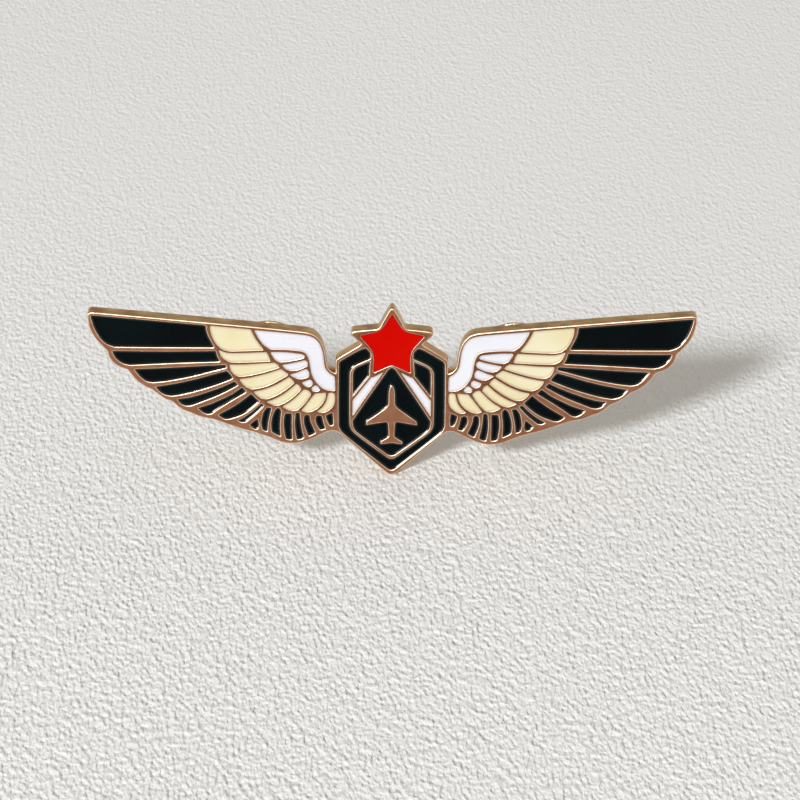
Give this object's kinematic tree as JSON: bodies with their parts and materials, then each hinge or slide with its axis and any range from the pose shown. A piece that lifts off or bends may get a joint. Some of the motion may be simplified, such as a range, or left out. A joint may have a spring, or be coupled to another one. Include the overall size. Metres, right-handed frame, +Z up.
{
  "type": "pilot wings pin",
  "caption": "Enamelled metal pilot wings pin with a star and shield in the middle, two posts on the back and a butterfly clutch on each post.",
  "frame": {"origin": "on the flat back of the plate, midway between the two posts", "axes": "+X along the wings, +Z up as worn, the face towards -Y, the posts and clutches on +Y"},
  "size_m": [0.075, 0.0104, 0.0218],
  "materials": {
    "gold_plating": "bright plated, slightly worn",
    "black_enamel": "glossy soft enamel",
    "cream_enamel": "glossy soft enamel",
    "white_enamel": "glossy soft enamel",
    "red_enamel": "glossy soft enamel",
    "brass": "bright plated sheet",
    "solder": "dull"
  },
  "bodies": {
    "badge": {"badge_plate": "gold_plating", "left_black_feather_1": "black_enamel", "left_black_feather_2": "black_enamel", "left_black_feather_3": "black_enamel", "left_black_feather_4": "black_enamel", "left_black_feather_5": "black_enamel", "left_black_feather_6": "black_enamel", "left_black_feather_7": "black_enamel", "left_black_feather_8": "black_enamel", "left_short_feathers": "black_enamel", "left_cream_feather_1": "cream_enamel", "left_cream_feather_2": "cream_enamel", "left_cream_feather_3": "cream_enamel", "left_cream_feather_4": "cream_enamel", "left_cream_feather_5": "cream_enamel", "left_cream_feather_6": "cream_enamel", "left_cream_feather_7": "cream_enamel", "left_cream_feather_8": "cream_enamel", "left_cream_feather_9": "cream_enamel", "left_white_shoulder": "white_enamel", "left_white_coverts": "white_enamel", "right_black_feather_1": "black_enamel", "right_black_feather_2": "black_enamel", "right_black_feather_3": "black_enamel", "right_black_feather_4": "black_enamel", "right_black_feather_5": "black_enamel", "right_black_feather_6": "black_enamel", "right_black_feather_7": "black_enamel", "right_black_feather_8": "black_enamel", "right_short_feathers": "black_enamel", "right_cream_feather_1": "cream_enamel", "right_cream_feather_2": "cream_enamel", "right_cream_feather_3": "cream_enamel", "right_cream_feather_4": "cream_enamel", "right_cream_feather_5": "cream_enamel", "right_cream_feather_6": "cream_enamel", "right_cream_feather_7": "cream_enamel", "right_cream_feather_8": "cream_enamel", "right_cream_feather_9": "cream_enamel", "right_white_shoulder": "white_enamel", "right_white_coverts": "white_enamel", "red_star": "red_enamel", "shield_ring": "black_enamel", "shield_left_corner": "black_enamel", "shield_right_corner": "black_enamel", "shield_left_band": "white_enamel", "shield_right_band": "white_enamel", "shield_centre": "black_enamel", "left_post": "brass", "right_post": "brass", "post_solder": "solder"},
    "left_clutch": {"left_clutch_cap": "brass", "left_clutch_cage": "brass"},
    "left_outer_ear": {"left_clutch_outer_ear": "brass"},
    "left_inner_ear": {"left_clutch_inner_ear": "brass"},
    "right_clutch": {"right_clutch_cap": "brass", "right_clutch_cage": "brass"},
    "right_outer_ear": {"right_clutch_outer_ear": "brass"},
    "right_inner_ear": {"right_clutch_inner_ear": "brass"}
  },
  "joints": [
    {"name": "left_clutch_slide", "type": "slide", "parent": "badge", "child": "left_clutch", "axis": [0, 1, 0], "range_m": [0, 0.01]},
    {"name": "left_outer_ear_squeeze", "type": "hinge", "parent": "left_clutch", "child": "left_outer_ear", "pos_m": [-0.01725, 0.003, 0], "axis": [0, 0, -1], "range_deg": [0, 10], "stiffness_Nm_per_rad": 0.001},
    {"name": "left_inner_ear_squeeze", "type": "hinge", "parent": "left_clutch", "child": "left_inner_ear", "pos_m": [-0.01335, 0.003, 0], "axis": [0, 0, 1], "range_deg": [0, 10], "stiffness_Nm_per_rad": 0.001},
    {"name": "right_clutch_slide", "type": "slide", "parent": "badge", "child": "right_clutch", "axis": [0, 1, 0], "range_m": [0, 0.01]},
    {"name": "right_outer_ear_squeeze", "type": "hinge", "parent": "right_clutch", "child": "right_outer_ear", "pos_m": [0.01725, 0.003, 0], "axis": [0, 0, 1], "range_deg": [0, 10], "stiffness_Nm_per_rad": 0.001},
    {"name": "right_inner_ear_squeeze", "type": "hinge", "parent": "right_clutch", "child": "right_inner_ear", "pos_m": [0.01335, 0.003, 0], "axis": [0, 0, -1], "range_deg": [0, 10], "stiffness_Nm_per_rad": 0.001}
  ],
  "couplings": [
    {"joint": "left_inner_ear_squeeze", "follows": "left_outer_ear_squeeze", "ratio": 1},
    {"joint": "right_inner_ear_squeeze", "follows": "right_outer_ear_squeeze", "ratio": 1}
  ]
}
